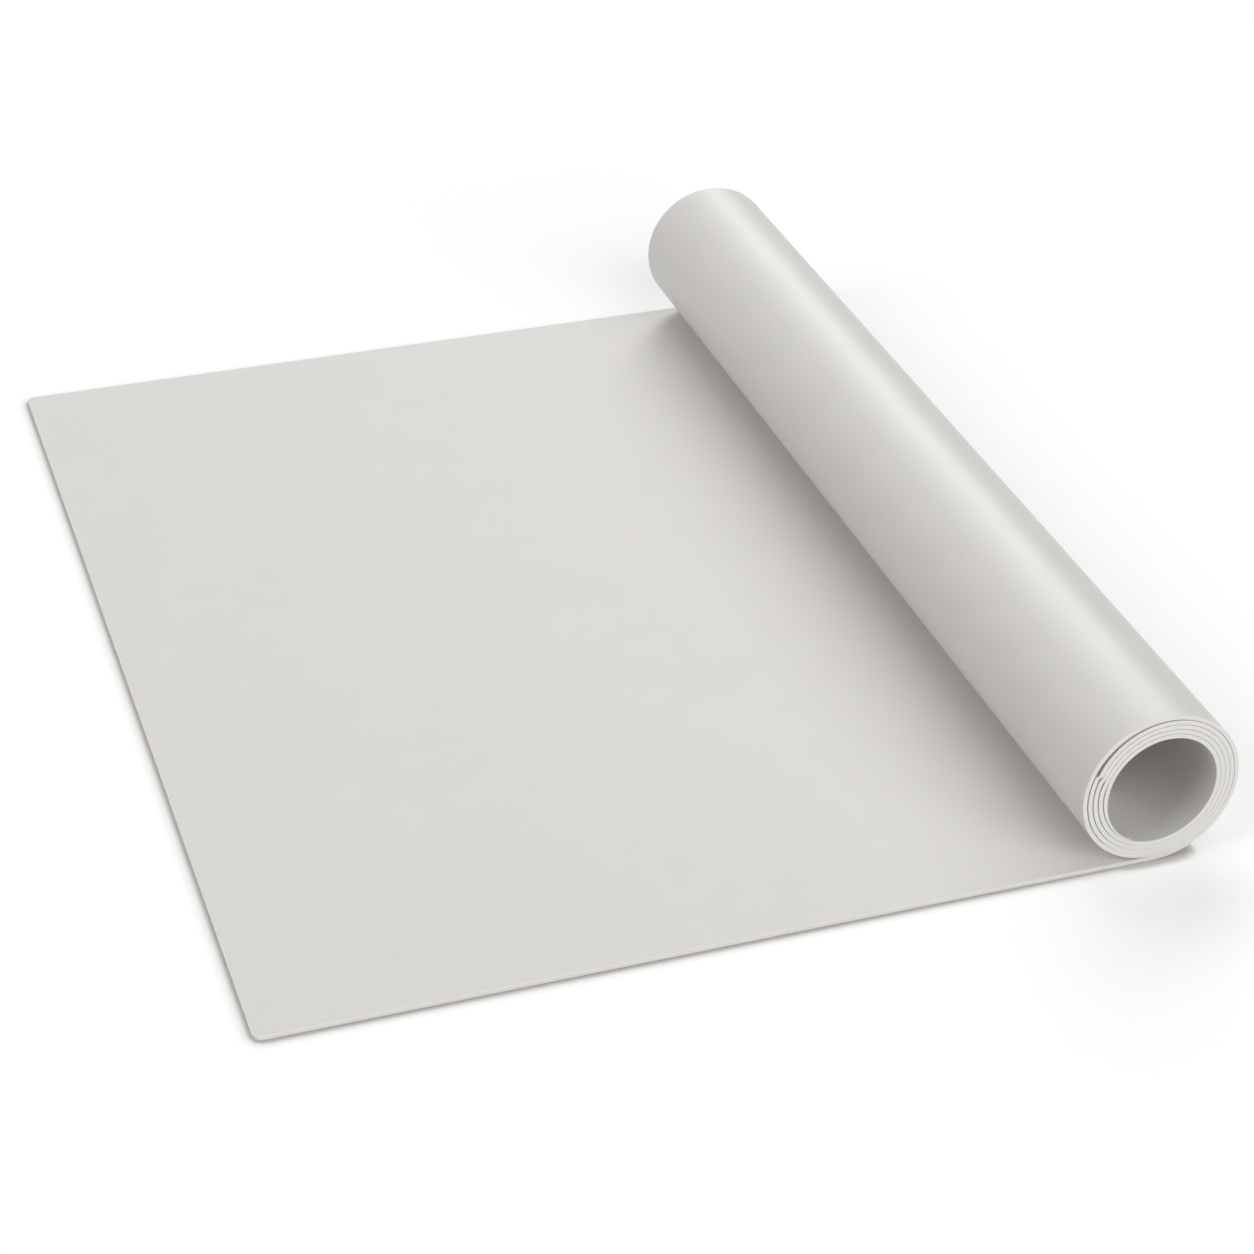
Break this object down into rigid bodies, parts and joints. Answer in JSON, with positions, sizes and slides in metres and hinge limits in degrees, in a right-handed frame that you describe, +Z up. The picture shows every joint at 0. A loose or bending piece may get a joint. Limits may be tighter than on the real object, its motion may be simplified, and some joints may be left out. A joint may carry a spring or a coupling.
{
  "type": "silicone counter mat",
  "caption": "Long pale silicone counter mat, one end lying flat and the rest wound into a loose open roll that uncurls along the counter.",
  "frame": {"origin": "on the surface it lies on, below the middle of the box round the whole mat", "axes": "+Z up, Y along the roll's axis and the mat's width, -X towards the flat free edge, +X towards the roll"},
  "size_m": [0.4576, 0.6, 0.079],
  "materials": {
    "silicone": "smooth satin pale warm grey silicone"
  },
  "bodies": {
    "flat_end": {"flat_sheet": "silicone"},
    "strip_01": {"bend_strip_01": "silicone"},
    "strip_02": {"bend_strip_02": "silicone"},
    "strip_03": {"bend_strip_03": "silicone"},
    "strip_04": {"bend_strip_04": "silicone"},
    "strip_05": {"bend_strip_05": "silicone"},
    "strip_06": {"bend_strip_06": "silicone"},
    "strip_07": {"bend_strip_07": "silicone"},
    "strip_08": {"bend_strip_08": "silicone"},
    "strip_09": {"bend_strip_09": "silicone"},
    "strip_10": {"bend_strip_10": "silicone"},
    "strip_11": {"bend_strip_11": "silicone"},
    "roll": {"rolled_turns": "silicone"}
  },
  "joints": [
    {"name": "uncurl_01", "type": "hinge", "parent": "flat_end", "child": "strip_01", "pos_m": [0.19429, 0, 0.00122], "axis": [0, 1, 0], "range_deg": [0, 15], "stiffness_Nm_per_rad": 0.25},
    {"name": "uncurl_02", "type": "hinge", "parent": "strip_01", "child": "strip_02", "pos_m": [0.20403, 0, 0.00383], "axis": [0, 1, 0], "range_deg": [0, 15], "stiffness_Nm_per_rad": 0.25},
    {"name": "uncurl_03", "type": "hinge", "parent": "strip_02", "child": "strip_03", "pos_m": [0.21275, 0, 0.00887], "axis": [0, 1, 0], "range_deg": [0, 15], "stiffness_Nm_per_rad": 0.25},
    {"name": "uncurl_04", "type": "hinge", "parent": "strip_03", "child": "strip_04", "pos_m": [0.21988, 0, 0.016], "axis": [0, 1, 0], "range_deg": [0, 15], "stiffness_Nm_per_rad": 0.25},
    {"name": "uncurl_05", "type": "hinge", "parent": "strip_04", "child": "strip_05", "pos_m": [0.22492, 0, 0.02473], "axis": [0, 1, 0], "range_deg": [0, 15], "stiffness_Nm_per_rad": 0.25},
    {"name": "uncurl_06", "type": "hinge", "parent": "strip_05", "child": "strip_06", "pos_m": [0.22753, 0, 0.03446], "axis": [0, 1, 0], "range_deg": [0, 15], "stiffness_Nm_per_rad": 0.25},
    {"name": "uncurl_07", "type": "hinge", "parent": "strip_06", "child": "strip_07", "pos_m": [0.22753, 0, 0.04454], "axis": [0, 1, 0], "range_deg": [0, 15], "stiffness_Nm_per_rad": 0.25},
    {"name": "uncurl_08", "type": "hinge", "parent": "strip_07", "child": "strip_08", "pos_m": [0.22492, 0, 0.05427], "axis": [0, 1, 0], "range_deg": [0, 15], "stiffness_Nm_per_rad": 0.25},
    {"name": "uncurl_09", "type": "hinge", "parent": "strip_08", "child": "strip_09", "pos_m": [0.21988, 0, 0.063], "axis": [0, 1, 0], "range_deg": [0, 15], "stiffness_Nm_per_rad": 0.25},
    {"name": "uncurl_10", "type": "hinge", "parent": "strip_09", "child": "strip_10", "pos_m": [0.21275, 0, 0.07013], "axis": [0, 1, 0], "range_deg": [0, 15], "stiffness_Nm_per_rad": 0.25},
    {"name": "uncurl_11", "type": "hinge", "parent": "strip_10", "child": "strip_11", "pos_m": [0.20403, 0, 0.07517], "axis": [0, 1, 0], "range_deg": [0, 15], "stiffness_Nm_per_rad": 0.25},
    {"name": "uncurl_12", "type": "hinge", "parent": "strip_11", "child": "roll", "pos_m": [0.19429, 0, 0.07778], "axis": [0, 1, 0], "range_deg": [0, 15], "stiffness_Nm_per_rad": 0.25}
  ]
}
